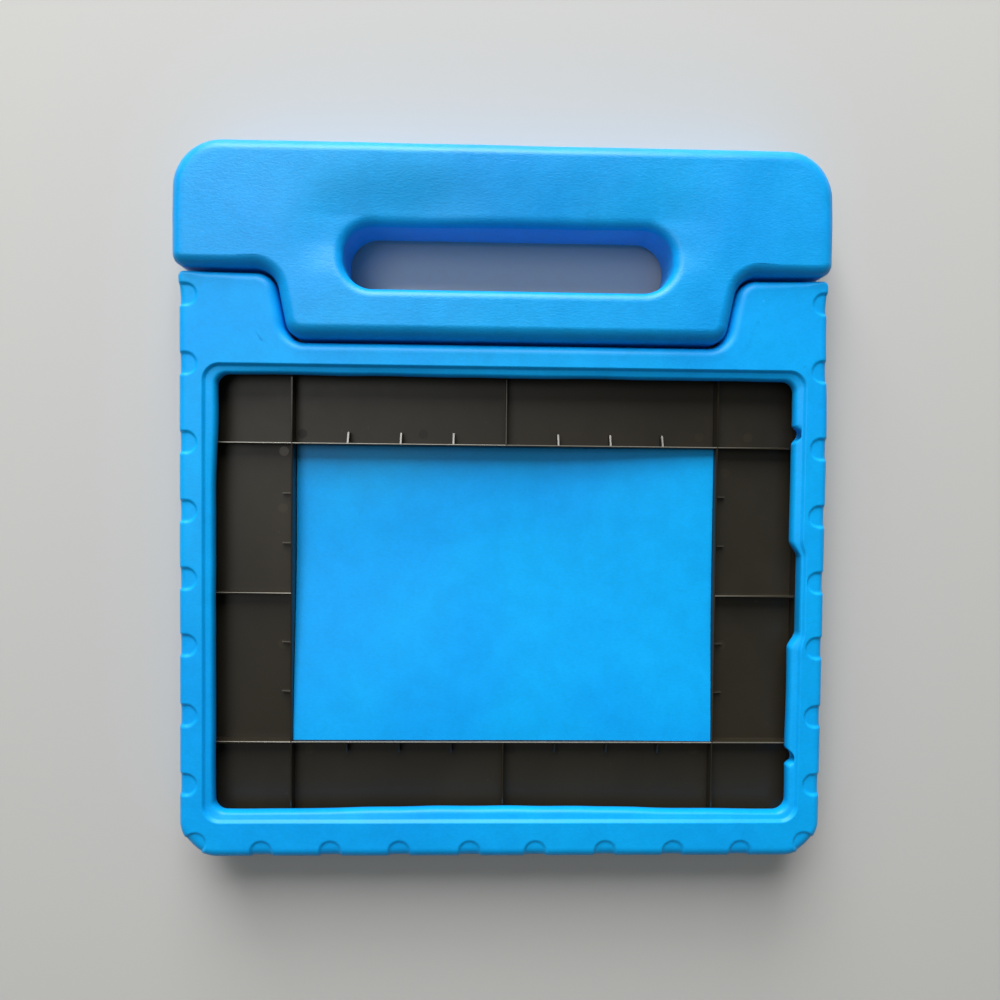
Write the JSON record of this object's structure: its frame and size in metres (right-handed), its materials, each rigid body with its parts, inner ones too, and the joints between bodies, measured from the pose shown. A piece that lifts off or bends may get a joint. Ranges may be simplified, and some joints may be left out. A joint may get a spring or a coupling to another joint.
{
  "type": "kids tablet case",
  "caption": "Soft foam tablet case with a swivelling carry handle that doubles as a stand, holding a ribbed plastic former in its pocket.",
  "frame": {"origin": "middle of the outline, on the surface that the case's back lies on", "axes": "+X across the case to the right seen from the screen side, +Y towards the carry handle, +Z out of the screen side"},
  "size_m": [0.2594, 0.2846, 0.029],
  "materials": {
    "foam_body": "satin moulded closed-cell foam, bright blue, very fine grain",
    "foam_handle": "matt moulded closed-cell foam, bright blue, pebbled leather-like grain",
    "former": "semi-gloss injection-moulded plastic, brownish black, lightly scuffed",
    "hinge_pin": "plain moulded plastic, black",
    "hinge_bush": "plain moulded plastic, dark grey"
  },
  "bodies": {
    "case": {"foam_body": "foam_body", "hinge_bush_left": "hinge_bush", "hinge_bush_right": "hinge_bush", "pocket_former": "former"},
    "handle": {"foam_handle": "foam_handle", "hinge_pin_left": "hinge_pin", "hinge_pin_right": "hinge_pin"}
  },
  "joints": [
    {"name": "handle_hinge", "type": "hinge", "parent": "case", "child": "handle", "pos_m": [0, 0.0777, 0.01], "axis": [-1, 0, 0], "range_deg": [0, 105]}
  ]
}
